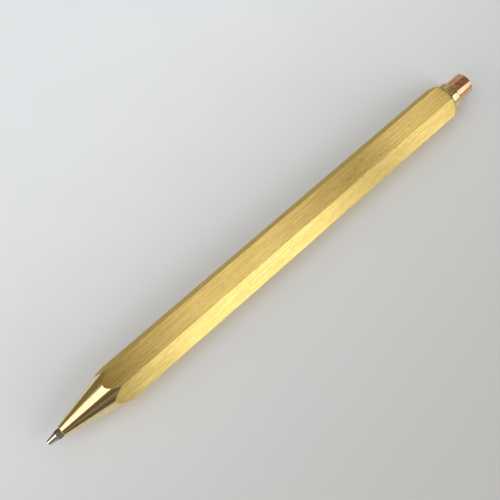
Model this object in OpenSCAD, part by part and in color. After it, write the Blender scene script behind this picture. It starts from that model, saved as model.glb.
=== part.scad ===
// Retractable ballpoint pen: a hexagonal brass body, a copper push button and a
// metal refill. It is drawn with the tip out and the button in.
//
// The pen lies on one flat of its body, with that flat at Z = 0. Its axis runs along
// X with the writing tip towards -X, and X = 0 is the middle of its length.
// Each dimension whose name ends in "_at" is a place along the axis, measured from
// the end of the writing ball, and each one ending in "_d" is a diameter.

/* [Body] */
// Width of the hexagonal bar across its flats
body_flats = 9.525; // [9.4:0.005:9.7]
// Overall length with the tip out, from writing ball to button face
pen_length = 147.6; // [146.5:0.1:149]
// Place of the body's front end
nose_at = 4.2; // [3.8:0.1:4.6]
// Diameter of the nose at its front end
nose_d = 3.2; // [3.1:0.05:3.5]
// Place where the nose cone runs out on the corners of the bar
nose_cone_end_at = 20.6; // [19.6:0.1:21.6]
// Place where the body ends and the collar begins
body_end_at = 139.2; // [138.9:0.1:139.5]
// Width of the light break along each corner of the bar, measured on its radius
corner_break = 0.06; // [0.02:0.01:0.12]

/* [Collar and button] */
// Diameter of the round collar behind the body
collar_d = 8.3; // [8.1:0.05:8.6]
// Length of collar that shows
collar_show = 2.2; // [1.8:0.1:2.6]
// Diameter of the push button
button_d = 6.5; // [6.3:0.05:6.6]
// Radius that breaks the rim of the button
button_rim = 0.35; // [0.2:0.05:0.6]
// Outer diameter of the collar's thread
thread_d = 7.5; // [7.4:0.05:7.6]
// Length of thread in engagement, six turns at a pitch of 0.75
thread_l = 4.5; // [4:0.1:5]

/* [Stroke] */
// Travel from tip out to tip in
stroke = 5.6; // [5.2:0.1:5.8]
// Further press beyond the drawn position
over_press = 0.4; // [0.2:0.1:0.4]

/* [Refill] */
// Length of the refill, ball included
refill_l = 98.1; // [97.6:0.1:98.3]
// Diameter of the refill's body
refill_d = 6; // [5.8:0.05:6.05]
// Diameter of the steel nose that carries the writing tip
refill_nose_d = 2.3; // [2.2:0.05:2.35]
// Diameter of the neck inside the spring
refill_neck_d = 3.9; // [3.6:0.1:4]
// Diameter of the writing ball
ball_d = 1; // [0.7:0.1:1]

/* [Spring] */
// Wire diameter
wire_d = 0.45; // [0.35:0.05:0.5]
// Mean diameter of the coils
coil_d = 4.6; // [4.55:0.05:4.65]
// Turns, with the two closed end turns
coil_turns = 10; // [8:1:12]

/* [Hidden] */
$fn = 96;

// Clearances
run_gap = 0.05;
loose_gap = 0.1;
ball_gap = 0.012;
touch_gap = 0.02;
spring_room = 0.125;

// Body
body_r = body_flats / 2;
corner_r = body_flats / sqrt(3);
nose_r = nose_d / 2;
nose_rim = 0.12;
collar_r = collar_d / 2;
body_l = body_end_at - nose_at;
rear_cone_l = corner_r - collar_r;

// Bores of the body, from the front
exit_r = refill_nose_d / 2 + loose_gap;
spring_seat_at = 11.2;
coil_r = coil_d / 2 + wire_d / 2;
spring_bore_r = coil_r + spring_room;
spring_bore_end_at = 20.2;
bore_r = refill_d / 2 + loose_gap;
drill_point_l = 0.6;
guide_bore_at = 102;
guide_r = 3.25;
guide_bore_r = guide_r + run_gap;

// Tail unit
thread_end_at = 129.6;
thread_at = thread_end_at - thread_l;
thread_depth = 0.5;
thread_mid_r = thread_d / 2 - thread_depth / 2;
pilot_r = 3.8;
pilot_bore_r = pilot_r + run_gap;
ring_at = 130.4;
ring_room = 1;
ring_groove_r = 3.1;
ring_wire_r = 0.35;
ring_mid_r = ring_groove_r + ring_wire_r + touch_gap;
button_r = button_d / 2;
button_bore_r = button_r + run_gap;
button_at = 133.4;
button_bore_at = button_at - over_press - 0.5;
collar_end_at = body_end_at + collar_show;
collar_chamfer = 0.25;
spigot_at = 119.5;
spigot_end_at = 122.5;
guide_inner_r = 2.7;

// Cam guide, rotor and plunger
guide_at = 104.2;
rib_at = 107.9;
rib_end_at = spigot_at - loose_gap;
rib_r = 2.15;
slot_w = 1.5;
fin_w = 1.2;
fin_r = guide_inner_r - 0.08;
fin_count = 4;
cam_rise = 0.55;
core_r = rib_r - loose_gap;
crown_teeth = 8;
crown_depth = 0.6;
pin_r = 1;
pin_hole_r = pin_r + loose_gap;
rotor_crown_at = rib_at + 0.1;
plunger_crown_at = rotor_crown_at + loose_gap;
stem_r = 1.95;
stem_hole_r = stem_r + loose_gap;
press_stem_r = 1.6;
press_stem_end_at = 141;

// Refill
nose_tube_at = 2.75;
neck_at = 12;
neck_cone_l = 1.5;
shoulder_at = 22;
shoulder_cone_l = 0.5;
shoulder_lip = 0.075;
shoulder_r = coil_r + shoulder_lip;
refill_r = refill_d / 2;
refill_neck_r = refill_neck_d / 2;
refill_nose_r = refill_nose_d / 2;
refill_wall = 0.25;
plug_l = 4;
plug_rim_l = 1;
ball_r = ball_d / 2;
ball_show = 0.3 * ball_d;
socket_base_r = 1.03;
socket_shank_r = 0.75;
socket_end_at = 7;
ink_hole_r = 0.22;
ink_end_at = 84;

// Colours
BRASS = [0.85, 0.72, 0.42];
COPPER = [0.80, 0.50, 0.36];
STEEL = [0.78, 0.78, 0.76];
NICKEL = [0.62, 0.60, 0.57];
CARBIDE = [0.45, 0.45, 0.47];
ACETAL = [0.93, 0.92, 0.88];
ROTOR_ACETAL = [0.25, 0.45, 0.70];
RUBBER = [0.10, 0.10, 0.10];
INK = [0.05, 0.07, 0.25];

// Puts a piece drawn along +Z, from the end of the writing ball, on the pen's axis.
module on_axis() {
    translate([-pen_length / 2, 0, body_r]) rotate([0, 90, 0]) children();
}

// A turned solid whose outline is a list of [radius, place] points.
module turned(outline) {
    rotate_extrude() polygon(outline);
}

// A round bar between two places.
module bar(radius, from_at, to_at) {
    translate([0, 0, from_at]) cylinder(r = radius, h = to_at - from_at);
}

// Copies spaced evenly around the axis.
module around(count) {
    for (i = [0 : count - 1]) rotate([0, 0, i * 360 / count]) children();
}

// A prism that runs out from the axis along +X. Its outline is in [across, along].
module radial_prism(outline, length) {
    rotate([90, 0, 90]) linear_extrude(length) polygon(outline);
}

// The hexagonal bar, with two of its flats across the X direction of the section.
module hex_bar(from_at, to_at) {
    translate([0, 0, from_at]) rotate([0, 0, 30])
        cylinder(r = corner_r, h = to_at - from_at, $fn = 6);
}

// Body: hexagonal bar, turned to a cone at the nose and chamfered at the rear.
module barrel() {
    lathe_r = corner_r - corner_break;
    cone_slope = (nose_cone_end_at - nose_at) / (corner_r - nose_r);
    color(BRASS) on_axis() difference() {
        intersection() {
            hex_bar(nose_at, body_end_at);
            turned([
                [0, nose_at],
                [nose_r - nose_rim, nose_at],
                [nose_r, nose_at + nose_rim],
                [lathe_r, nose_cone_end_at - corner_break * cone_slope],
                [lathe_r, body_end_at - rear_cone_l + corner_break],
                [collar_r, body_end_at],
                [0, body_end_at]
            ]);
        }
        bar(exit_r, nose_at - 1, spring_seat_at + 1);
        bar(spring_bore_r, spring_seat_at, spring_bore_end_at);
        turned([
            [0, spring_bore_end_at],
            [spring_bore_r, spring_bore_end_at],
            [bore_r, spring_bore_end_at + drill_point_l],
            [0, spring_bore_end_at + drill_point_l]
        ]);
        bar(bore_r, spring_bore_end_at + drill_point_l, guide_bore_at);
        bar(guide_bore_r, guide_bore_at, thread_at);
        bar(thread_mid_r + run_gap, thread_at, thread_end_at);
        bar(pilot_bore_r, thread_end_at, body_end_at + 1);
    }
}

// Collar: the round end behind the body, with its pilot, thread and front spigot.
module rear_collar() {
    neck_r = guide_r - run_gap;
    color(BRASS) on_axis() difference() {
        turned([
            [0, spigot_at],
            [guide_inner_r, spigot_at],
            [guide_inner_r, spigot_end_at],
            [neck_r, spigot_end_at],
            [neck_r, thread_at],
            [thread_mid_r, thread_at],
            [thread_mid_r, thread_end_at],
            [pilot_r, thread_end_at],
            [pilot_r, ring_at],
            [ring_groove_r, ring_at],
            [ring_groove_r, ring_at + ring_room],
            [pilot_r, ring_at + ring_room],
            [pilot_r, body_end_at],
            [collar_r, body_end_at],
            [collar_r, collar_end_at - collar_chamfer],
            [collar_r - collar_chamfer, collar_end_at],
            [0, collar_end_at]
        ]);
        bar(stem_hole_r, spigot_at - 1, button_bore_at + 1);
        bar(button_bore_r, button_bore_at, collar_end_at + 1);
    }
}

// Rubber ring in the collar's groove, which keeps the thread from working loose.
module collar_ring() {
    color(RUBBER) on_axis() translate([0, 0, ring_at + ring_room / 2])
        rotate_extrude() translate([ring_mid_r, 0]) circle(r = ring_wire_r, $fn = 48);
}

// Cam guide: a sleeve with four ribs. The rotor latches on the stepped rib ends.
module cam_guide() {
    rib_span = 3.2;
    half_span = rib_span / 2;
    color(ACETAL) on_axis() difference() {
        bar(guide_r, guide_at, spigot_end_at);
        bar(guide_inner_r, guide_at - 1, rib_at);
        bar(guide_inner_r, rib_end_at, spigot_end_at + 1);
        bar(rib_r, rib_at - 1, rib_end_at + 1);
        intersection() {
            bar(guide_inner_r, rib_at - 1, rib_end_at + 1);
            around(fin_count) translate([0, -slot_w / 2, rib_at - 1])
                cube([guide_r, slot_w, rib_end_at - rib_at + 2]);
        }
        intersection() {
            bar(guide_inner_r, rib_at - 1, rib_at + 1);
            around(fin_count) rotate([0, 0, 180 / fin_count]) radial_prism([
                [-half_span, rib_at - 0.5],
                [half_span, rib_at - 0.5],
                [half_span, rib_at + cam_rise],
                [0, rib_at],
                [0, rib_at + cam_rise],
                [-half_span, rib_at]
            ], guide_r);
        }
    }
}

// Copper push button, pressed on the plunger's stem.
module button_cap() {
    rim_steps = 6;
    rim = [for (i = [0 : rim_steps]) [
        button_r - button_rim + button_rim * cos(i * 90 / rim_steps),
        pen_length - button_rim + button_rim * sin(i * 90 / rim_steps)
    ]];
    color(COPPER) on_axis() difference() {
        turned(concat([[0, button_at], [button_r, button_at]], rim, [[0, pen_length]]));
        bar(press_stem_r, button_at - 1, press_stem_end_at + loose_gap);
    }
}

// V-shaped gaps between the teeth of a crown whose tips face the place given.
module crown_gaps(tips_at, faces) {
    half_pitch = core_r * tan(180 / crown_teeth);
    around(crown_teeth) radial_prism([
        [-half_pitch, tips_at + faces],
        [-half_pitch, tips_at],
        [0, tips_at - faces * crown_depth],
        [half_pitch, tips_at],
        [half_pitch, tips_at + faces]
    ], core_r + 1);
}

// Plunger: the toothed crown and fins that run in the guide, and the button's stem.
module button_plunger() {
    fin_at = plunger_crown_at + crown_depth;
    fin_end_at = spigot_at - stroke - loose_gap;
    pin_hole_end_at = 113.2;
    color(ACETAL) on_axis() difference() {
        union() {
            bar(core_r, plunger_crown_at, fin_end_at);
            bar(stem_r, fin_end_at, button_at);
            bar(press_stem_r, button_at, press_stem_end_at);
            intersection() {
                bar(fin_r, fin_at, fin_end_at);
                around(fin_count) translate([0, -fin_w / 2, fin_at])
                    cube([guide_r, fin_w, fin_end_at - fin_at]);
            }
        }
        bar(pin_hole_r, plunger_crown_at - 1, pin_hole_end_at);
        crown_gaps(plunger_crown_at, -1);
    }
}

// Rotor: pushes the refill, turns an eighth of a turn at each press, and latches.
module rotor_cam() {
    front_at = refill_l + run_gap;
    head_r = 2.5;
    head_end_at = front_at + 1.8;
    fin_at = 104.8;
    fin_end_at = rib_at - 0.2;
    pin_end_at = 112;
    color(ROTOR_ACETAL) on_axis() union() {
        bar(head_r, front_at, head_end_at);
        difference() {
            bar(core_r, head_end_at, rotor_crown_at);
            crown_gaps(rotor_crown_at, 1);
        }
        bar(pin_r, rotor_crown_at - 1, pin_end_at);
        intersection() {
            bar(fin_r, fin_at, fin_end_at);
            around(fin_count) radial_prism([
                [-fin_w / 2, fin_at],
                [fin_w / 2, fin_at],
                [fin_w / 2, fin_end_at],
                [-fin_w / 2, fin_end_at - cam_rise]
            ], guide_r);
        }
    }
}

// Place of the wire's centre after a number of turns, with closed turns at both ends.
function coil_place(turn, start, end) =
    let (
        closed = wire_d * 1.05,
        open = (end - start - 2 * closed) / (coil_turns - 2)
    )
    turn < 1 ? start + closed * turn
    : turn > coil_turns - 1 ? end - closed * (coil_turns - turn)
    : start + closed + open * (turn - 1);

// Spring between the seat in the nose and the refill's shoulder.
module return_spring() {
    wire_sides = 6;
    steps_per_turn = 20;
    rings = coil_turns * steps_per_turn;
    start = spring_seat_at + wire_d / 2 + touch_gap;
    end = shoulder_at - wire_d / 2 - touch_gap;
    points = [for (i = [0 : rings], k = [0 : wire_sides - 1])
        let (
            turn = i / steps_per_turn,
            side = k * 360 / wire_sides,
            reach = coil_d / 2 + wire_d / 2 * cos(side)
        )
        [
            reach * cos(turn * 360),
            reach * sin(turn * 360),
            coil_place(turn, start, end) + wire_d / 2 * sin(side)
        ]];
    sides = [for (i = [0 : rings - 1], k = [0 : wire_sides - 1])
        let (
            here = i * wire_sides,
            next = here + wire_sides,
            after = (k + 1) % wire_sides
        )
        [here + k, next + k, next + after, here + after]];
    first_cap = [for (k = [0 : wire_sides - 1]) k];
    last_cap = [for (k = [wire_sides - 1 : -1 : 0]) rings * wire_sides + k];
    color(STEEL) on_axis() polyhedron(points, concat([first_cap], sides, [last_cap]));
}

// Refill shell: a steel tube, stepped down to the neck and to the nose.
module refill_shell() {
    bore = refill_r - refill_wall;
    neck_bore = refill_neck_r - refill_wall;
    rim = 0.1;
    color(NICKEL) on_axis() difference() {
        turned([
            [0, nose_tube_at],
            [refill_nose_r - rim, nose_tube_at],
            [refill_nose_r, nose_tube_at + rim],
            [refill_nose_r, neck_at],
            [refill_neck_r, neck_at + neck_cone_l],
            [refill_neck_r, shoulder_at],
            [shoulder_r, shoulder_at],
            [refill_r, shoulder_at + shoulder_cone_l],
            [refill_r, refill_l - plug_rim_l],
            [0, refill_l - plug_rim_l]
        ]);
        bar(socket_shank_r, nose_tube_at - 1, neck_at + neck_cone_l + 1);
        bar(neck_bore, neck_at + neck_cone_l + 0.5, shoulder_at + shoulder_cone_l + 1);
        bar(bore, shoulder_at + shoulder_cone_l + 0.5, refill_l);
    }
}

// Writing tip: the steel cone that holds the ball.
module tip_socket() {
    rim_r = 0.58 * ball_d;
    cavity_r = ball_r + ball_gap;
    color(STEEL) on_axis() difference() {
        turned([
            [0, ball_show],
            [rim_r, ball_show],
            [socket_base_r, nose_tube_at],
            [socket_shank_r, nose_tube_at],
            [socket_shank_r, socket_end_at],
            [0, socket_end_at]
        ]);
        translate([0, 0, ball_r]) sphere(r = cavity_r);
        bar(ink_hole_r, ball_r, socket_end_at + 1);
    }
}

// Writing ball.
module writing_ball() {
    color(CARBIDE) on_axis() translate([0, 0, ball_r]) sphere(r = ball_r);
}

// Ink: the paste that fills the shell behind the tip.
module ink_column() {
    film = 0.01;
    nose_ink_r = socket_shank_r - film;
    neck_ink_r = refill_neck_r - refill_wall - film;
    body_ink_r = refill_r - refill_wall - film;
    color(INK) on_axis() union() {
        bar(nose_ink_r, socket_end_at + film, neck_at + neck_cone_l + 1);
        bar(neck_ink_r, neck_at + neck_cone_l + 0.5 + film, shoulder_at + shoulder_cone_l + 1);
        bar(body_ink_r, shoulder_at + shoulder_cone_l + 0.5 + film, ink_end_at);
    }
}

// Plug that closes the rear of the refill, with a vent through it.
module refill_end_plug() {
    vent_r = 0.5;
    slit_w = 0.6;
    rim_break = 0.3;
    plug_r = refill_r - refill_wall;
    color(ACETAL) on_axis() difference() {
        turned([
            [0, refill_l - plug_l],
            [plug_r, refill_l - plug_l],
            [plug_r, refill_l - plug_rim_l],
            [refill_r, refill_l - plug_rim_l],
            [refill_r, refill_l - rim_break],
            [refill_r - rim_break, refill_l],
            [0, refill_l]
        ]);
        bar(vent_r, refill_l - plug_l - 1, refill_l + 1);
        translate([-refill_r, -slit_w / 2, refill_l - plug_rim_l / 2])
            cube([2 * refill_r, slit_w, plug_rim_l]);
    }
}

barrel();
rear_collar();
collar_ring();
cam_guide();
button_cap();
button_plunger();
rotor_cam();
return_spring();
refill_shell();
tip_socket();
writing_ball();
ink_column();
refill_end_plug();
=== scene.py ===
"""Retractable ballpoint pen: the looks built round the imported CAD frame.

The pen lies along X on one flat of its hexagonal body, writing tip towards -X. Outlines
are drawn in millimetres as (place along X, radius) about the pen's axis, and places are
measured from the end of the writing ball, as in the CAD source.
"""

import math

import bpy
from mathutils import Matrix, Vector


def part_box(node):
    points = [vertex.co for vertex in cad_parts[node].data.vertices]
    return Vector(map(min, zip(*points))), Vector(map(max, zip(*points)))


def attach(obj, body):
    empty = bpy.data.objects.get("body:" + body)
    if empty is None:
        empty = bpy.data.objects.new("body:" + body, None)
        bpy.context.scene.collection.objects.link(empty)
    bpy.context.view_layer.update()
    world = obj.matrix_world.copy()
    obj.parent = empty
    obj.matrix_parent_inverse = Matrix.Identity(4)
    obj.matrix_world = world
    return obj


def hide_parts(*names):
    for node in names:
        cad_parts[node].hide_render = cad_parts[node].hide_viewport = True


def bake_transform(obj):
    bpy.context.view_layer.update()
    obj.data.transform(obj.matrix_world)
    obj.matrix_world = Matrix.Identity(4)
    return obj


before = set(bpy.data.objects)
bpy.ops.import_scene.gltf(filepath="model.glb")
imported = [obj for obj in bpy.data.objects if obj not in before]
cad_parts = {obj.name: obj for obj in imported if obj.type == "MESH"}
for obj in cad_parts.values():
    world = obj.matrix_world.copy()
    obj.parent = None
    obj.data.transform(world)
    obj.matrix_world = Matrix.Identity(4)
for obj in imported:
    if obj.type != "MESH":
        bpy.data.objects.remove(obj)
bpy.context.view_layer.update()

MM = 0.001

# ---------------------------------------------------------------------------
# Sizes, in millimetres, from the frame


def span(node, axis):
    """Lowest and highest coordinate of a CAD node along an axis, in millimetres."""
    low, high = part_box(node)
    return low[axis] / MM, high[axis] / MM


def places(node):
    """Where a CAD node starts and ends along the pen, from the end of the writing ball."""
    return [x - TIP_X for x in span(node, 0)]


def radius(node):
    """Outer radius of a round CAD node."""
    low, high = span(node, 2)
    return (high - low) / 2


TIP_X = span("writing_ball", 0)[0]
BODY_START, BODY_END = places("barrel")
BUTTON_START, BUTTON_END = places("button_cap")
COLLAR_START, COLLAR_END = places("rear_collar")
SHELL_START, SHELL_END = places("refill_shell")
SOCKET_START, SOCKET_END = places("tip_socket")
RING_START, RING_END = places("collar_ring")
SPRING_START, SPRING_END = places("return_spring")
APOTHEM = radius("barrel")
COLLAR_R = radius("rear_collar")
BUTTON_R = radius("button_cap")
SHELL_R = radius("refill_shell")
BALL_R = radius("writing_ball")
RING_R = radius("collar_ring")
AXIS_Z = APOTHEM

# Body
CORNER_ROUND = 0.05
SUPPORT_INSET = 0.1
CORNER_R = (APOTHEM - CORNER_ROUND) / math.cos(math.pi / 6) + CORNER_ROUND
NOSE_R = 1.6
NOSE_RIM = 0.14
CONE_END = 20.6
CONE_SLOPE = (APOTHEM / math.cos(math.pi / 6) - NOSE_R) / (CONE_END - BODY_START)
EDGE_BREAK = 0.07
EDGE_SINK = 0.004
REAR_RIM = 0.06
# Distances from the axis between which the corners begin to look worn, and are fully worn
WEAR_START_R = 5.43
WEAR_FULL_R = 5.49

# Bores of the body
EXIT_BORE_R = 1.25
SPRING_SEAT = 11.2
SPRING_BORE_R = 2.65
SPRING_BORE_END = 20.2
BORE_R = 3.1
BORE_START = 20.8
GUIDE_BORE_START = 102.0
GUIDE_BORE_R = 3.3
PILOT_BORE_R = 3.85

# Thread between body and collar, right-handed
THREAD_START = 125.1
THREAD_END = 129.6
THREAD_PITCH = 0.75
THREAD_DEPTH = 0.2
THREAD_RUN_OUT = 0.4
THREAD_RINGS_PER_TURN = 9
OUTER_THREAD_R = 3.50
INNER_THREAD_R = 3.56

# Collar
SPIGOT_R = 2.7
SPIGOT_END = 122.5
COLLAR_NECK_R = 3.2
PILOT_R = 3.8
RING_GROOVE = 130.4, 131.4
RING_GROOVE_R = 3.1
STEM_HOLE_R = 2.05
BUTTON_BORE_R = 3.3
BUTTON_BORE_START = 132.5
COLLAR_CHAMFER = 0.25

# Button
BUTTON_RIM = 0.35
BUTTON_DISH = 0.12
STEM_SOCKET_R = 1.6
STEM_SOCKET_END = 141.1

# Refill
REFILL_NOSE_R = 1.15
REFILL_NECK_R = 1.95
NECK_START = 12.0
NECK_FULL = 13.5
SHOULDER = 22.0
SHOULDER_R = 2.6
SHOULDER_FULL = 22.5
SHELL_WALL = 0.25
STEP_WALL = 0.5
SHANK_R = 0.75
SOCKET_BASE_R = 1.03
SOCKET_RIM_R = 0.58
CAVITY_R = BALL_R + 0.012
INK_HOLE_R = 0.22

# Spring
WIRE_R = 0.225
COIL_R = 2.3
COIL_TURNS = 10
CLOSED_PITCH = 2.1 * WIRE_R
# Turns from the wire's end, and share of its radius, of the rings that round the end off
WIRE_END = [(0.0, 0.0), (0.0, 0.5), (0.001, 0.8), (0.004, 0.95)]

# ---------------------------------------------------------------------------
# Mesh helpers


def around_axis(place, distance, angle):
    """A point at a place along the pen, at a distance and an angle about its axis."""
    return Vector((
        (TIP_X + place) * MM,
        distance * math.cos(angle) * MM,
        (AXIS_Z + distance * math.sin(angle)) * MM,
    ))


def steps(low, high, count):
    """Evenly spaced values from low to high, both included."""
    return [low + (high - low) * i / count for i in range(count + 1)]


def add_object(name, data):
    """A new object in the scene that shows the data."""
    added = bpy.data.objects.new(name, data)
    bpy.context.scene.collection.objects.link(added)
    return added


def skin(name, rings, closed):
    """A mesh skinned over rings of points, and the ring each face starts from. A ring of
    one point is a pole. When closed, the last ring joins the first."""
    points, starts = [], []
    for ring in rings:
        starts.append(len(points))
        points.extend(ring)
    pairs = [(i, i + 1) for i in range(len(rings) - 1)]
    if closed:
        pairs.append((len(rings) - 1, 0))
    faces, ring_of_face = [], []
    for low, high in pairs:
        low_size, high_size = len(rings[low]), len(rings[high])
        columns = max(low_size, high_size)
        for i in range(columns):
            after = (i + 1) % columns
            corners = [
                starts[low] + i % low_size,
                starts[low] + after % low_size,
                starts[high] + after % high_size,
                starts[high] + i % high_size,
            ]
            faces.append(list(dict.fromkeys(corners)))
            ring_of_face.append(low)
    mesh = bpy.data.meshes.new(name)
    mesh.from_pydata(points, [], faces)
    mesh.shade_smooth()
    return add_object(name, mesh), ring_of_face


def softened(corners, arc_steps=4):
    """An outline whose corners are rounded. Each corner is (place, radius, rounding)."""
    outline = []
    for i, (place, distance, rounding) in enumerate(corners):
        if rounding == 0:
            outline.append((place, distance))
            continue
        here = Vector((place, distance))
        back = (Vector(corners[i - 1][:2]) - here).normalized()
        ahead = (Vector(corners[(i + 1) % len(corners)][:2]) - here).normalized()
        half_angle = back.angle(ahead) / 2
        reach = rounding / math.tan(half_angle)
        centre = here + (back + ahead).normalized() * rounding / math.sin(half_angle)
        first, last = here + back * reach - centre, here + ahead * reach - centre
        for t in steps(0, 1, arc_steps):
            outline.append(tuple(centre + first.slerp(last, t).normalized() * rounding))
    return outline


def thread(mid_radius, away):
    """Outline of the thread. Its radius depends on the angle, and it runs out towards
    larger radii when away is 1, or towards smaller ones when away is -1."""

    def ring(place):
        run_in = min(place - THREAD_START, THREAD_END - place) / THREAD_RUN_OUT
        full = max(0.0, min(1.0, run_in))

        def radius_at(angle):
            phase = (place - THREAD_START) / THREAD_PITCH - angle / (2 * math.pi)
            ramp = 4 * abs(phase % 1 - 0.5) - 1
            flank = max(-1.0, min(1.0, 1.4 * ramp))
            return mid_radius + THREAD_DEPTH * (flank * full + away * (1 - full))

        return place, radius_at

    turns = (THREAD_END - THREAD_START) / THREAD_PITCH
    count = round(turns * THREAD_RINGS_PER_TURN)
    return [ring(place) for place in steps(THREAD_START, THREAD_END, count)]


def turned(name, outline, closed, columns=128):
    """A piece turned on the pen's axis. A radius of 0 in the outline is a pole, and a
    radius may be a function of the angle."""
    rings = []
    for place, distance in outline:
        count = 1 if distance == 0 else columns
        angles = [2 * math.pi * i / count for i in range(count)]
        if callable(distance):
            rings.append([around_axis(place, distance(angle), angle) for angle in angles])
        else:
            rings.append([around_axis(place, distance, angle) for angle in angles])
    return skin(name, rings, closed)[0]


def shade_by_area(mesh):
    """Weights each point's normal by the area of the faces round it, so that flats and
    cylinders shade true right up to their small roundings."""
    sums = [Vector() for _ in mesh.vertices]
    for face in mesh.polygons:
        weighted = face.normal * (face.area / MM ** 2)
        for index in face.vertices:
            sums[index] += weighted
    mesh.normals_split_custom_set_from_vertices([total.normalized() for total in sums])


def finish_piece(piece, node, *materials, body=None):
    """Gives a piece its shading and materials, and hides the CAD node it stands for. It
    rides on that node's body when one is given, and on none when it bends between two."""
    shade_by_area(piece.data)
    for material in materials:
        piece.data.materials.append(material)
    if body:
        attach(piece, body)
    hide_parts(node)


# ---------------------------------------------------------------------------
# Node helpers


class Graph:
    """Short calls that add nodes to a material's or the world's node tree."""

    def __init__(self, tree):
        self.tree = tree

    def add(self, kind, inputs, **settings):
        node = self.tree.nodes.new(kind)
        for name, value in settings.items():
            setattr(node, name, value)
        for key, value in inputs.items():
            if isinstance(value, bpy.types.NodeSocket):
                self.tree.links.new(value, node.inputs[key])
            else:
                node.inputs[key].default_value = value
        return node

    def math(self, operation, a, b=0.0):
        return self.add("ShaderNodeMath", {0: a, 1: b}, operation=operation).outputs[0]

    def vector(self, operation, a, b):
        return self.add("ShaderNodeVectorMath", {0: a, 1: b}, operation=operation).outputs[0]

    def scale(self, vector, factor):
        inputs = {0: vector, "Scale": factor}
        return self.add("ShaderNodeVectorMath", inputs, operation="SCALE").outputs[0]

    def length(self, a):
        return self.add("ShaderNodeVectorMath", {0: a}, operation="LENGTH").outputs["Value"]

    def split(self, vector):
        return self.add("ShaderNodeSeparateXYZ", {0: vector}).outputs

    def noise(self, vector, detail=2.0, rough=0.5):
        inputs = {"Vector": vector, "Scale": 1.0, "Detail": detail, "Roughness": rough}
        return self.add("ShaderNodeTexNoise", inputs).outputs["Fac"]

    def ease(self, value, low, high, to_low=0.0, to_high=1.0):
        """Runs smoothly from to_low to to_high as value goes from low to high."""
        inputs = {"Value": value, "From Min": low, "From Max": high,
                  "To Min": to_low, "To Max": to_high}
        node = self.add("ShaderNodeMapRange", inputs, interpolation_type="SMOOTHSTEP")
        return node.outputs["Result"]

    def scaled(self, value, low, high):
        """Maps 0..1 to low..high in a straight line."""
        return self.math("ADD", self.math("MULTIPLY", value, high - low), low)

    def blend(self, *parts):
        """The sum of values, each times its share."""
        first, *others = [self.math("MULTIPLY", value, share) for value, share in parts]
        for part in others:
            first = self.math("ADD", first, part)
        return first

    def tint(self, factor, a, b):
        """Mixes colour a into colour b as factor goes from 0 to 1."""
        node = self.add("ShaderNodeMix", {}, data_type="RGBA")
        for value, socket in ((factor, node.inputs[0]), (a, node.inputs[6]), (b, node.inputs[7])):
            if isinstance(value, bpy.types.NodeSocket):
                self.tree.links.new(value, socket)
            else:
                socket.default_value = (*value, 1.0) if isinstance(value, tuple) else value
        return node.outputs[2]

    def round_pen(self):
        """The direction round the pen's axis, for metal finished round or along it."""
        return self.add("ShaderNodeTangent", {}, direction_type="RADIAL", axis="X").outputs[0]

    def bump(self, height, depth, normal=None):
        """A bump whose height runs from 0 to depth, in millimetres."""
        inputs = {"Height": height, "Strength": 1.0, "Distance": depth * MM}
        if normal is not None:
            inputs["Normal"] = normal
        return self.add("ShaderNodeBump", inputs).outputs["Normal"]


def new_material(name):
    """A material, its graph, its shader and the place on the piece in millimetres, with
    the pen's axis at Y = Z = 0."""
    material = bpy.data.materials.new(name)
    material.use_nodes = True
    graph = Graph(material.node_tree)
    shader = material.node_tree.nodes["Principled BSDF"]
    raw = graph.add("ShaderNodeTexCoord", {}).outputs["Object"]
    centred = graph.vector("SUBTRACT", raw, (0.0, 0.0, AXIS_Z * MM))
    return material, graph, shader, graph.scale(centred, 1 / MM)


def set_shader(graph, shader, **inputs):
    """Sets or links inputs of a shader, named with _ for a space."""
    for name, value in inputs.items():
        socket = shader.inputs[name.replace("_", " ").title().replace("Ior", "IOR")]
        if isinstance(value, bpy.types.NodeSocket):
            graph.tree.links.new(value, socket)
        else:
            socket.default_value = value


def stretched(graph, place, along, across):
    """The place scaled so that one unit of noise is along by across millimetres."""
    return graph.vector("MULTIPLY", place, (1 / along, 1 / across, 1 / across))


# ---------------------------------------------------------------------------
# Materials

# Tint of the brushed brass at grazing angles; for turned metal there, the colour of the painted
# shade on its flanks, and its tint
BRUSHED_EDGE_TINT = 0.50, 0.47, 0.42
PAINTED_FLANK_SHADE = 0.06, 0.055, 0.045
FLANK_EDGE_TINT = 0.35, 0.34, 0.31


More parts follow.
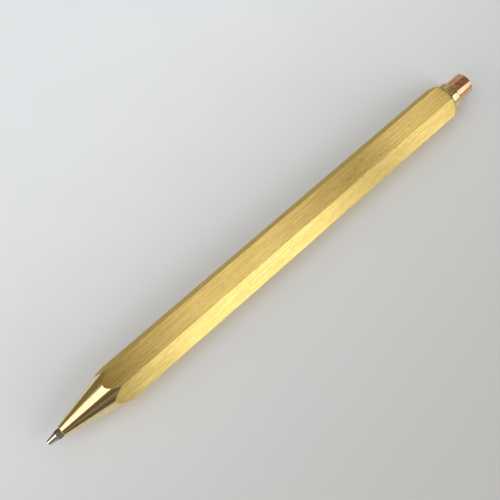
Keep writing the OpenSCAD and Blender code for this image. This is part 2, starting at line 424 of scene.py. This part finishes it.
def brushed_brass():
    """Brass drawn over abrasive along the pen: three layers of streaks along X, a faint
    patina, and corners worn brighter and smoother."""
    material, graph, shader, place = new_material("brushed_brass")
    # Length and width of what each layer shows, in millimetres
    fine = graph.noise(stretched(graph, place, 5.0, 0.07))
    short = graph.noise(stretched(graph, place, 1.6, 0.17))
    middle = graph.noise(stretched(graph, place, 9.0, 0.27), 3.0)
    broad = graph.noise(stretched(graph, place, 45.0, 1.6), 2.0)
    cloud = graph.noise(stretched(graph, place, 14.0, 5.0), 2.0)
    streaks = graph.blend((fine, 0.2), (short, 0.35), (middle, 0.45))

    from_axis = graph.length(graph.vector("MULTIPLY", place, (0.0, 1.0, 1.0)))
    corner = graph.ease(from_axis, WEAR_START_R, WEAR_FULL_R)
    worn = graph.math("MULTIPLY", corner, graph.ease(middle, 0.3, 0.6, 0.5, 1.0))

    tone = graph.tint(graph.ease(streaks, 0.42, 0.58), (0.70, 0.51, 0.16), (0.98, 0.76, 0.285))
    warm = graph.tint(graph.ease(broad, 0.35, 0.65), (0.92, 0.67, 0.225), (0.86, 0.69, 0.235))
    colour = graph.tint(0.25, tone, warm)
    colour = graph.tint(graph.ease(cloud, 0.55, 0.75, 0.0, 0.25), colour, (0.68, 0.49, 0.17))
    colour = graph.tint(graph.math("MULTIPLY", worn, 0.2), colour, (0.90, 0.71, 0.28))

    rough = graph.scaled(streaks, 0.20, 0.40)
    rough = graph.math("SUBTRACT", rough, graph.math("MULTIPLY", worn, 0.05))
    normal = graph.bump(fine, 0.004)
    normal = graph.bump(short, 0.010, normal)
    normal = graph.bump(middle, 0.024, normal)
    set_shader(graph, shader, base_color=colour, metallic=1.0, roughness=rough,
               anisotropic=1.0, normal=normal, tangent=graph.round_pen(),
               specular_tint=(*BRUSHED_EDGE_TINT, 1.0))
    return material


def turned_metal(name, light, dark, rough, mark_depth, mark_width=0.05, flank=0.0):
    """Metal finished on a lathe: fine rings round the axis, polished, with a few faint
    marks along it from handling. Flank is how far painted shade darkens its colour where
    it curves away from view."""
    material, graph, shader, place = new_material(name)
    rings = graph.noise(graph.vector("MULTIPLY", place, (1 / mark_width, 0.12, 0.12)), 2.0)
    bands = graph.noise(graph.vector("MULTIPLY", place, (1.3, 0.10, 0.10)), 2.0)
    smudge = graph.noise(graph.vector("MULTIPLY", place, (0.35, 0.5, 0.5)), 3.0)
    scuff = graph.noise(stretched(graph, place, 2.5, 0.09), 2.0)
    scuffed = graph.ease(scuff, 0.66, 0.74)

    shade = graph.blend((rings, 0.4), (bands, 0.6))
    colour = graph.tint(graph.ease(shade, 0.35, 0.65), dark, light)
    colour = graph.tint(graph.ease(smudge, 0.52, 0.72, 0.0, 0.3), colour, dark)
    # Painted shade: where the surface curves away from view, the colour is darkened to stand for
    # the dark it would mirror
    if flank:
        facing = graph.add("ShaderNodeLayerWeight", {"Blend": 0.5}).outputs["Facing"]
        painted_shade_on_flank = graph.ease(facing, 0.12, 0.5, 0.0, flank)
        colour = graph.tint(painted_shade_on_flank, colour, PAINTED_FLANK_SHADE)
        set_shader(graph, shader, specular_tint=(*FLANK_EDGE_TINT, 1.0))
    roughness = graph.scaled(graph.ease(smudge, 0.35, 0.7), rough, rough * 1.6)
    roughness = graph.math("ADD", roughness, graph.math("MULTIPLY", scuffed, 0.10))
    normal = graph.bump(rings, mark_depth)
    normal = graph.bump(scuffed, mark_depth * 0.5, normal)
    set_shader(graph, shader, base_color=colour, metallic=1.0, roughness=roughness,
               anisotropic=0.45, anisotropic_rotation=0.25, normal=normal,
               tangent=graph.round_pen())
    return material


def wire_steel():
    """Drawn spring wire: cool grey with drawing lines and a trace of oil."""
    material, graph, shader, place = new_material("wire_steel")
    lines = graph.noise(graph.vector("MULTIPLY", place, (9.0, 3.0, 3.0)), 4.0)
    oil = graph.noise(graph.scale(place, 0.8), 2.0)
    colour = graph.tint(graph.ease(lines, 0.35, 0.65), (0.34, 0.34, 0.35), (0.62, 0.62, 0.61))
    set_shader(graph, shader, base_color=colour, metallic=1.0,
               roughness=graph.scaled(graph.ease(oil, 0.35, 0.65), 0.18, 0.38),
               normal=graph.bump(lines, 0.01))
    return material


def ground_carbide():
    """Ground tungsten carbide: dark, very smooth, with a fine grain."""
    material, graph, shader, place = new_material("ground_carbide")
    grain = graph.noise(graph.scale(place, 28.0), 3.0)
    colour = graph.tint(graph.ease(grain, 0.35, 0.65), (0.78, 0.78, 0.79), (0.92, 0.92, 0.92))
    set_shader(graph, shader, base_color=colour, metallic=1.0,
               roughness=graph.scaled(grain, 0.04, 0.12), normal=graph.bump(grain, 0.0004))
    return material


def moulded(name, light, dark, rough, grain_depth, clear=0.0):
    """Moulded plastic: slight flow marks, a fine spark-eroded texture and soft light
    passing a little way in."""
    material, graph, shader, place = new_material(name)
    flow = graph.noise(graph.vector("MULTIPLY", place, (0.25, 0.9, 0.9)), 3.0)
    grain = graph.noise(graph.scale(place, 14.0), 3.0)
    colour = graph.tint(graph.ease(flow, 0.35, 0.7), light, dark)
    set_shader(graph, shader, base_color=colour, roughness=graph.scaled(grain, rough, rough + 0.2),
               subsurface_weight=0.15, subsurface_radius=(0.6 * MM, 0.5 * MM, 0.4 * MM),
               coat_weight=clear, normal=graph.bump(grain, grain_depth))
    return material


def ring_rubber():
    """Black rubber with a bloom of grease and a moulded grain."""
    material, graph, shader, place = new_material("ring_rubber")
    grain = graph.noise(graph.scale(place, 20.0), 4.0)
    bloom = graph.noise(graph.scale(place, 1.2), 3.0)
    colour = graph.tint(graph.ease(bloom, 0.4, 0.7), (0.012, 0.012, 0.012), (0.035, 0.034, 0.033))
    set_shader(graph, shader, base_color=colour, roughness=graph.scaled(bloom, 0.35, 0.7),
               normal=graph.bump(grain, 0.006))
    return material


def ink_paste():
    """Dark blue paste with a glossy skin that clings unevenly."""
    material, graph, shader, place = new_material("ink_paste")
    cling = graph.noise(graph.vector("MULTIPLY", place, (0.4, 1.5, 1.5)), 3.0)
    colour = graph.tint(graph.ease(cling, 0.35, 0.7), (0.004, 0.006, 0.05), (0.012, 0.02, 0.13))
    set_shader(graph, shader, base_color=colour, roughness=graph.scaled(cling, 0.08, 0.25),
               coat_weight=0.5, normal=graph.bump(cling, 0.02))
    return material


BRUSHED = brushed_brass()
TURNED_BRASS = turned_metal("turned_brass", (0.94, 0.82, 0.50), (0.87, 0.73, 0.40), 0.065, 0.0012)
COPPER = turned_metal("turned_copper", (0.97, 0.61, 0.38), (0.90, 0.50, 0.29), 0.08, 0.0012)
NICKEL = turned_metal("plated_nickel", (0.56, 0.50, 0.43), (0.40, 0.35, 0.29), 0.18, 0.0010,
                      flank=0.85)
TIP_STEEL = turned_metal("tip_steel", (0.95, 0.94, 0.91), (0.84, 0.83, 0.80), 0.07, 0.0005, 0.03,
                         flank=0.65)
ACETAL = moulded("white_acetal", (0.80, 0.79, 0.74), (0.74, 0.72, 0.65), 0.32, 0.004)
ROTOR_ACETAL = moulded("blue_acetal", (0.06, 0.17, 0.42), (0.04, 0.12, 0.34), 0.30, 0.004)
PLUG_PLASTIC = moulded("plug_plastic", (0.82, 0.82, 0.80), (0.74, 0.74, 0.70), 0.22, 0.003, 0.3)

# ---------------------------------------------------------------------------
# Body


def hex_section():
    """Angle and radius of each column of the bar's section, a hexagon with rounded
    corners, with one column each side of an arc to keep the flats flat."""
    half_side = math.pi / 6
    corner_centre = CORNER_R - CORNER_ROUND
    half_flat = (APOTHEM - CORNER_ROUND) * math.tan(half_side)
    support = half_flat - SUPPORT_INSET
    columns = []
    for side in range(6):
        corner = 2 * half_side * side
        for turn in steps(-half_side, half_side, 6):
            out = corner_centre + CORNER_ROUND * math.cos(turn)
            across = CORNER_ROUND * math.sin(turn)
            columns.append((corner + math.atan2(across, out), math.hypot(out, across)))
        for across in steps(-support, support, 13):
            angle = corner + half_side + math.atan2(across, APOTHEM)
            columns.append((angle, math.hypot(APOTHEM, across)))
    return columns


def cone_radius(place):
    """Radius of the nose cone at a place."""
    return NOSE_R + CONE_SLOPE * (place - BODY_START)


def scallop(section_radius):
    """Place where the nose cone meets the bar at that radius."""
    return BODY_START + (section_radius - NOSE_R) / CONE_SLOPE


def rear_scallop(section_radius):
    """Place where the 45 degree rear chamfer meets the bar at that radius."""
    return BODY_END - (section_radius - COLLAR_R)


def hex_barrel():
    """The body: front face and nose rim, cone, flats, rear chamfer, then back through the
    pilot bore, the thread and the bores to the front face."""
    section = hex_section()

    def round_ring(place, distance):
        at = distance if callable(distance) else lambda angle: distance
        return [around_axis(place, at(angle), angle) for angle, _ in section]

    def rings_between(shares, start, stop, radius_at):
        """A ring for each share of the way between two places. The places depend on the
        section's radius, and the ring's radius on its place and the section's radius."""
        between = []
        for share in shares:
            ring = []
            for angle, distance in section:
                place = start(distance) + (stop(distance) - start(distance)) * share
                ring.append(around_axis(place, radius_at(place, distance), angle))
            between.append(ring)
        return between

    rings = [round_ring(*point) for point in softened([
        (BODY_START, EXIT_BORE_R, 0),
        (BODY_START, NOSE_R, NOSE_RIM),
        (scallop(APOTHEM), APOTHEM, 0),
    ])[1:-1]]
    rings += rings_between(
        steps(0, 1, 14),
        lambda distance: BODY_START + 2 * NOSE_RIM,
        lambda distance: scallop(distance) - EDGE_BREAK,
        lambda place, distance: cone_radius(place),
    )
    rings += rings_between([0], scallop, scallop, lambda place, distance: distance - EDGE_SINK)
    first_flat_ring = len(rings)
    rings += rings_between(
        [0, 0.002, 0.006] + steps(0.015, 0.985, 26) + [0.996, 1],
        lambda distance: scallop(distance) + EDGE_BREAK,
        lambda distance: rear_scallop(distance) - EDGE_BREAK,
        lambda place, distance: distance,
    )
    last_flat_ring = len(rings) - 1
    rings += rings_between(
        steps(0, 1, 5),
        lambda distance: rear_scallop(distance) + EDGE_BREAK,
        lambda distance: BODY_END - REAR_RIM,
        lambda place, distance: COLLAR_R + BODY_END - place,
    )
    rings.append(round_ring(BODY_END, COLLAR_R - REAR_RIM / 3))

    rings += [round_ring(*point) for point in softened([
        (BODY_END, COLLAR_R - 0.05, 0),
        (BODY_END, PILOT_BORE_R, 0.08),
        (THREAD_END, PILOT_BORE_R, 0),
    ])]
    rings += [round_ring(*point) for point in reversed(thread(INNER_THREAD_R, 1))]
    rings += [round_ring(*point) for point in softened([
        (THREAD_START, GUIDE_BORE_R, 0),
        (GUIDE_BORE_START, GUIDE_BORE_R, 0.05),
        (GUIDE_BORE_START, BORE_R, 0.05),
        (BORE_START, BORE_R, 0.1),
        (SPRING_BORE_END, SPRING_BORE_R, 0.1),
        (SPRING_SEAT, SPRING_BORE_R, 0.1),
        (SPRING_SEAT, EXIT_BORE_R, 0.1),
        (BODY_START, EXIT_BORE_R, 0.1),
        (BODY_START, NOSE_R, 0),
    ])[:-1]]
    piece, ring_of_face = skin("hex_barrel", rings, closed=True)
    for face, ring in zip(piece.data.polygons, ring_of_face):
        face.material_index = 0 if first_flat_ring <= ring < last_flat_ring else 1
    finish_piece(piece, "barrel", BRUSHED, TURNED_BRASS, body="barrel")


# ---------------------------------------------------------------------------
# Collar, ring and button


def tail_collar():
    """The collar, with its spigot, neck, thread, pilot, ring groove and button bore."""
    front = softened([
        (COLLAR_START, STEM_HOLE_R, 0.08),
        (COLLAR_START, SPIGOT_R, 0.15),
        (SPIGOT_END, SPIGOT_R, 0.06),
        (SPIGOT_END, COLLAR_NECK_R, 0.12),
        (THREAD_START, COLLAR_NECK_R, 0),
    ])
    rear = softened([
        (THREAD_END, PILOT_R, 0.1),
        (RING_GROOVE[0], PILOT_R, 0.08),
        (RING_GROOVE[0], RING_GROOVE_R, 0.06),
        (RING_GROOVE[1], RING_GROOVE_R, 0.06),
        (RING_GROOVE[1], PILOT_R, 0.08),
        (BODY_END, PILOT_R, 0.02),
        (BODY_END, COLLAR_R, 0.05),
        (COLLAR_END, COLLAR_R, COLLAR_CHAMFER),
        (COLLAR_END, BUTTON_BORE_R, 0.12),
        (BUTTON_BORE_START, BUTTON_BORE_R, 0.05),
        (BUTTON_BORE_START, STEM_HOLE_R, 0.05),
    ])
    piece = turned("tail_collar", front + thread(OUTER_THREAD_R, -1) + rear, closed=True)
    finish_piece(piece, "rear_collar", TURNED_BRASS, body="tail_unit")


def seal_ring():
    """The rubber ring, flattened a little where it presses on the bore, with the flash
    line of its mould."""
    middle = (RING_START + RING_END) / 2
    wire = (RING_END - RING_START) / 2
    sides, flash_height, flattened = 28, 0.012, 0.94
    outline = []
    for i in range(sides):
        turn = 2 * math.pi * i / sides
        flash = flash_height if i in (sides // 4, 3 * sides // 4) else 0.0
        out = min(math.sin(turn) * (wire + flash), wire * flattened)
        outline.append((middle - math.cos(turn) * wire, RING_R - wire + out))
    piece = turned("seal_ring", outline, closed=True)
    finish_piece(piece, "collar_ring", ring_rubber(), body="ring")


def push_button():
    """The copper button: a deep socket for the plunger's stem, a rounded rim and a face
    that is turned very slightly hollow."""
    outline = softened([
        (STEM_SOCKET_END, 0, 0),
        (STEM_SOCKET_END, STEM_SOCKET_R, 0.1),
        (BUTTON_START, STEM_SOCKET_R, 0.12),
        (BUTTON_START, BUTTON_R, 0.12),
        (BUTTON_END, BUTTON_R, BUTTON_RIM),
        (BUTTON_END - 0.02, BUTTON_R - 0.8, 0),
        (BUTTON_END - 0.07, BUTTON_R - 1.6, 0),
        (BUTTON_END - 0.11, BUTTON_R - 2.5, 0),
        (BUTTON_END - BUTTON_DISH, 0, 0),
    ], 6)
    piece = turned("push_button", outline, closed=False)
    finish_piece(piece, "button_cap", COPPER, body="button")


# ---------------------------------------------------------------------------
# Refill and spring


def refill_tube():
    """The refill's steel tube: nose, neck inside the spring, shoulder and body."""
    inner_r = SHELL_R - SHELL_WALL
    neck_inner_r = REFILL_NECK_R - SHELL_WALL
    outline = softened([
        (SHELL_START, SHANK_R, 0),
        (SHELL_START, REFILL_NOSE_R, 0.1),
        (NECK_START, REFILL_NOSE_R, 0.3),
        (NECK_FULL, REFILL_NECK_R, 0.3),
        (SHOULDER, REFILL_NECK_R, 0.08),
        (SHOULDER, SHOULDER_R, 0.08),
        (SHOULDER_FULL, SHELL_R, 0.15),
        (SHELL_END, SHELL_R, 0.05),
        (SHELL_END, inner_r, 0.05),
        (SHOULDER_FULL + STEP_WALL, inner_r, 0.05),
        (SHOULDER_FULL + STEP_WALL, neck_inner_r, 0.05),
        (NECK_FULL + STEP_WALL, neck_inner_r, 0.05),
        (NECK_FULL + STEP_WALL, SHANK_R, 0),
    ])
    piece = turned("refill_tube", outline, closed=True, columns=96)
    finish_piece(piece, "refill_shell", NICKEL, body="refill")


def tip_cone():
    """The writing tip: a turned cone whose rolled lip holds the ball in its cavity."""
    cavity_opens = math.acos((SOCKET_START - BALL_R) / CAVITY_R)
    cavity_ends = math.asin(INK_HOLE_R / CAVITY_R)
    outline = softened([
        (SOCKET_START, CAVITY_R * math.sin(cavity_opens), 0),
        (SOCKET_START, SOCKET_RIM_R, 0.025),
        (SHELL_START, SOCKET_BASE_R, 0.04),
        (SHELL_START, SHANK_R, 0),
        (SOCKET_END, SHANK_R, 0.08),
        (SOCKET_END, INK_HOLE_R, 0),
    ])
    for turn in steps(cavity_ends, cavity_opens, 12)[:-1]:
        outline.append((BALL_R + CAVITY_R * math.cos(turn), CAVITY_R * math.sin(turn)))
    piece = turned("tip_cone", outline, closed=True, columns=96)
    finish_piece(piece, "tip_socket", TIP_STEEL, body="refill")


def roller_ball():
    """The writing ball."""
    outline = [(BALL_R - BALL_R * math.cos(turn), BALL_R * math.sin(turn))
               for turn in steps(0, math.pi, 24)[1:-1]]
    piece = turned("roller_ball", [(0, 0)] + outline + [(2 * BALL_R, 0)], closed=False, columns=48)
    finish_piece(piece, "writing_ball", ground_carbide(), body="ball")


def coil_spring():
    """The return spring: round wire with one closed turn at each end."""
    start, end = SPRING_START + WIRE_R, SPRING_END - WIRE_R
    open_pitch = (end - start - 2 * CLOSED_PITCH) / (COIL_TURNS - 2)
    per_turn, sides = 56, 14

    def coil_place(turn):
        if turn < 1:
            return start + CLOSED_PITCH * turn
        if turn > COIL_TURNS - 1:
            return end - CLOSED_PITCH * (COIL_TURNS - turn)
        return start + CLOSED_PITCH + open_pitch * (turn - 1)

    def wire_ring(turn, wire_radius):
        angle = 2 * math.pi * turn - math.pi / 2
        if wire_radius == 0:
            return [around_axis(coil_place(turn), COIL_R, angle)]
        ring = []
        for k in range(sides):
            side = -2 * math.pi * k / sides
            place = coil_place(turn) + wire_radius * math.sin(side)
            ring.append(around_axis(place, COIL_R + wire_radius * math.cos(side), angle))
        return ring

    rings = [wire_ring(turn, share * WIRE_R) for turn, share in WIRE_END]
    rings += [wire_ring(i / per_turn, WIRE_R) for i in range(1, COIL_TURNS * per_turn)]
    for turn, share in reversed(WIRE_END):
        rings.append(wire_ring(COIL_TURNS - turn, share * WIRE_R))
    piece, _ = skin("coil_spring", rings, closed=False)
    finish_piece(piece, "return_spring", wire_steel())
    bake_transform(piece)


def cad_pieces():
    """Materials of the CAD nodes that are shown as they are."""
    materials = {
        "cam_guide": ACETAL,
        "button_plunger": ACETAL,
        "rotor_cam": ROTOR_ACETAL,
        "ink_column": ink_paste(),
        "refill_end_plug": PLUG_PLASTIC,
    }
    for node, material in materials.items():
        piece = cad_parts[node]
        piece.data.materials.clear()
        piece.data.materials.append(material)
        weld = piece.modifiers.new("weld", "WELD")
        weld.merge_threshold = 0.0005 * MM


# ---------------------------------------------------------------------------
# Floor, light and camera


FLOOR_SIZE = 6000
# Colours at the lit end and the dim end of the painted shade across the table
LIT_END, DIM_END = (0.87, 0.89, 0.91), (0.57, 0.56, 0.54)
MOTTLE_TONE = 0.60, 0.60, 0.60
# Colour of the painted shade that the metal mirrors of the table far from the pen
PAINTED_SHADE_MIRRORED_FAR_OFF = 0.06, 0.05, 0.03


def pale_floor():
    """A plain matt tabletop under the pen, very slightly uneven in tone. Painted shade darkens
    it across the table away from the light, and where the metal mirrors it, painted shade
    darkens it further out."""
    half = FLOOR_SIZE / 2 * MM
    corners = [(-half, -half, 0), (half, -half, 0), (half, half, 0), (-half, half, 0)]
    mesh = bpy.data.meshes.new("floor")
    mesh.from_pydata(corners, [], [(0, 1, 2, 3)])
    material, graph, shader, place = new_material("pale_tabletop")
    mottle = graph.noise(graph.scale(place, 0.05), 4.0)
    grain = graph.noise(graph.scale(place, 1.6), 3.0)
    parts = graph.split(place)
    # Painted shade: the table's colour darkens across it, away from the light
    across = graph.math("SUBTRACT", graph.math("MULTIPLY", parts[0], 0.12), parts[1])
    painted_falloff_shade = graph.ease(across, -95.0, 95.0)
    tone = graph.tint(painted_falloff_shade, LIT_END, DIM_END)
    colour = graph.tint(graph.ease(mottle, 0.3, 0.7, 0.0, 0.05), tone, MOTTLE_TONE)
    # Painted shade in reflections: glossy rays see the table darken far from the pen, standing in
    # for a dark room beyond it
    mirrored = graph.add("ShaderNodeLightPath", {}).outputs["Is Glossy Ray"]
    from_pen = graph.length(graph.vector("MULTIPLY", place, (1.0, 1.0, 0.0)))
    painted_far_shade = graph.math("MULTIPLY", mirrored, graph.ease(from_pen, 70.0, 180.0, 0.0, 0.85))
    colour = graph.tint(painted_far_shade, colour, PAINTED_SHADE_MIRRORED_FAR_OFF)
    set_shader(graph, shader, base_color=colour, roughness=0.75, specular_ior_level=0.25,
               normal=graph.bump(grain, 0.02))
    mesh.materials.append(material)
    add_object("floor", mesh)


# Soft studio panels: the range of lean along X, the range of angle round the pen's axis in
# degrees, the strength, and how softly the panel ends in lean and in angle.
PANELS = [
    # Ceiling over the body and the strip behind it, mirrored in the top flat
    ((0.105, 0.405), (-60, 28), 0.60, 0.05, 8.0),
    ((0.525, 0.548), (-60, 28), 3.1, 0.010, 8.0),
    # Key light at the side and its rear strip, mirrored in the near flat
    ((0.095, 0.425), (38, 84), 4.1, 0.03, 5.0),
    ((0.518, 0.566), (38, 84), 6.8, 0.008, 5.0),
    # Highlight on the collar and the button, and its fade towards the table
    ((0.574, 0.80), (40, 80), 0.93, 0.006, 10.0),
    ((0.574, 0.80), (84, 110), 0.55, 0.006, 6.0),
    # Highlight along the nose cone and the writing tip, and one on the cone beside it
    ((-0.66, -0.22), (-30, 17), 1.25, 0.03, 2.5),
    ((-0.66, -0.39), (-45, -29), 0.95, 0.02, 4.0),
    # Light in front of the pen, which glints on the ball
    ((-1.0, -0.76), (-90, 90), 1.7, 0.04, 6.0),
    # Glow from the far side on the collar, on the button, and on the nose cone's near side
    ((0.45, 0.585), (-95, -48), 0.13, 0.02, 6.0),
    ((0.591, 0.80), (-95, -38), 0.36, 0.007, 8.0),
    ((-0.60, -0.20), (49, 66), 0.10, 0.04, 5.0),
]
PANEL_TONE = 1.0, 0.99, 0.98
ROOM_TONE = 1.05, 0.80, 0.48
ROOM_TONE_ON_MATT = 2.08, 2.20, 2.33
BACKDROP = 0.62, 0.625, 0.63


def studio_light():
    """A dim warm room with soft studio panels, painted in the world. Directions are given
    by how far they lean along X and by their angle round the pen's axis, from straight up
    (0) to level on the near side (90). Matt surfaces get a brighter, neutral room, and the
    camera sees a plain backdrop past the table."""
    world = bpy.data.worlds.new("studio")
    bpy.context.scene.world = world
    world.use_nodes = True
    graph = Graph(world.node_tree)
    background = world.node_tree.nodes["Background"]
    direction = graph.add("ShaderNodeTexCoord", {}).outputs["Generated"]
    x, y, z = graph.split(direction)
    away = graph.math("MULTIPLY", y, -1.0)
    angle = graph.math("MULTIPLY", graph.math("ARCTAN2", away, z), 180 / math.pi)

    def window(value, low, high, soft):
        rise = graph.ease(value, low - soft, low + soft)
        fall = graph.ease(value, high - soft, high + soft, 1.0, 0.0)
        return graph.math("MULTIPLY", rise, fall)

    lit = []
    for lean, turn, strength, lean_soft, turn_soft in PANELS:
        shape = graph.math("MULTIPLY", window(x, *lean, lean_soft), window(angle, *turn, turn_soft))
        lit.append((shape, strength))
    panels = graph.blend(*lit)

    room = graph.ease(angle, 15.0, 38.0, 0.20, 0.12)
    room = graph.math("MULTIPLY", room, graph.ease(x, 0.50, 0.58, 1.0, 0.8))
    rays = graph.add("ShaderNodeLightPath", {}).outputs
    room_tone = graph.tint(rays["Is Diffuse Ray"], ROOM_TONE, ROOM_TONE_ON_MATT)
    light = graph.vector("ADD", graph.scale(PANEL_TONE, panels), graph.scale(room_tone, room))
    seen = graph.tint(rays["Is Camera Ray"], light, BACKDROP)
    graph.tree.links.new(seen, background.inputs["Color"])


def camera():
    """Looks down on the pen from its near side, beyond the writing tip."""
    target = Vector((-6.5, 3.7, AXIS_Z)) * MM
    azimuth, elevation, distance = math.radians(-43.4), math.radians(65.0), 192 * MM
    back = Vector((
        math.sin(azimuth) * math.cos(elevation),
        -math.cos(azimuth) * math.cos(elevation),
        math.sin(elevation),
    ))
    data = bpy.data.cameras.new("camera")
    data.lens = 54
    data.sensor_width = 36
    data.clip_start = 0.01
    data.clip_end = 20
    shot = add_object("camera", data)
    shot.location = target + back * distance
    shot.rotation_euler = (-back).to_track_quat("-Z", "Y").to_euler()
    bpy.context.scene.camera = shot
    bpy.context.scene.view_settings.view_transform = "Standard"


hex_barrel()
tail_collar()
seal_ring()
push_button()
refill_tube()
tip_cone()
roller_ball()
coil_spring()
cad_pieces()
pale_floor()
studio_light()
camera()
